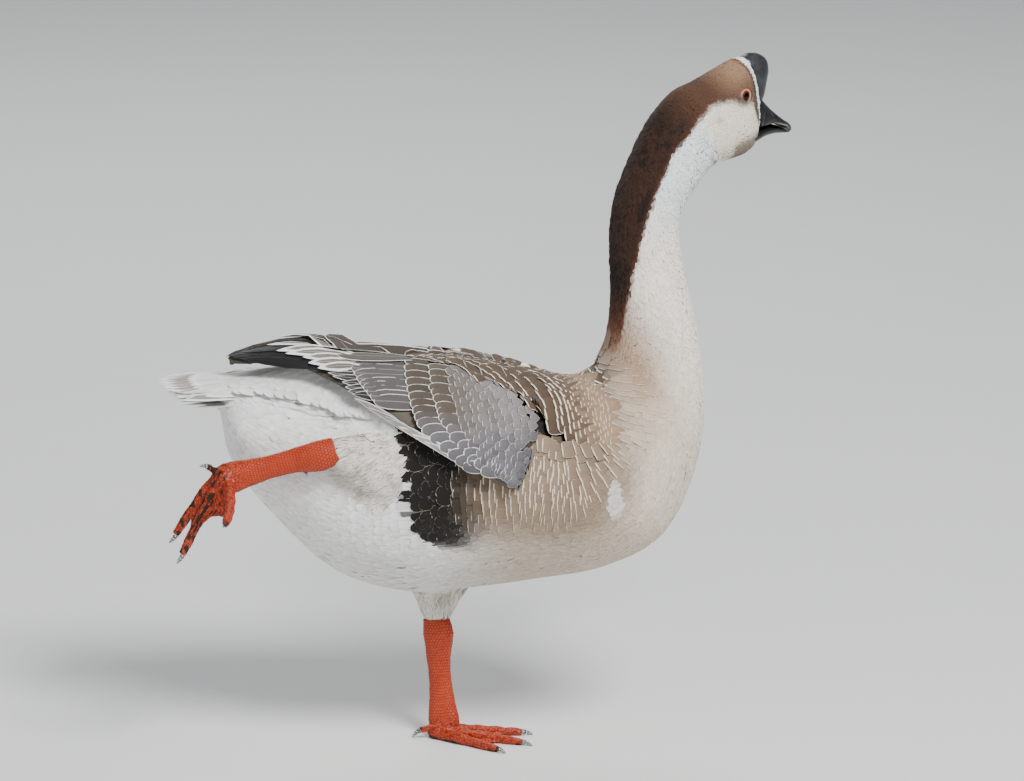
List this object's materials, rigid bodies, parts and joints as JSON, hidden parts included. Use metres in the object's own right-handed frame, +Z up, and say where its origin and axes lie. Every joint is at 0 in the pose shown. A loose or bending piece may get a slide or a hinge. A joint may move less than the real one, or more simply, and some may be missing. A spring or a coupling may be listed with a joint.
{
  "type": "domestic goose",
  "caption": "Life-size brown Chinese goose, knob-billed, standing on one leg with the other stretched back and one wing hanging.",
  "frame": {"origin": "middle of the standing left foot's flat sole, on the floor", "axes": "+X is the way the body faces, +Y the bird's left, +Z up"},
  "size_m": [0.5945, 0.3153, 0.6566],
  "materials": {
    "feather_white": "white feathers, matt",
    "feather_buff": "buff and cream fine feathers, matt",
    "feather_brown": "brown velvet head feathers, matt",
    "feather_grey": "grey-brown wing feathers with pale edges, matt",
    "feather_black": "black flight feathers, satin",
    "bill": "black-grey horn, satin",
    "eye": "wet, glossy",
    "leg": "orange scaly skin, satin",
    "claw": "dark horn, satin"
  },
  "bodies": {
    "root": {"trunk": "feather_white", "neck": "feather_buff", "head": "feather_brown", "bill_upper": "bill", "bill_lower": "bill", "knob": "bill", "tail": "feather_white", "eye_right": "eye", "wing_right": "feather_grey", "primaries_right": "feather_black", "thigh_right": "feather_white", "shank_right": "leg", "foot_right": "leg", "claw_right_hind": "claw", "claw_right_inner": "claw", "claw_right_middle": "claw", "claw_right_outer": "claw", "eye_left": "eye", "wing_left": "feather_grey", "primaries_left": "feather_black", "thigh_left": "feather_white", "shank_left": "leg", "foot_left": "leg", "claw_left_hind": "claw", "claw_left_inner": "claw", "claw_left_middle": "claw", "claw_left_outer": "claw"}
  },
  "joints": []
}
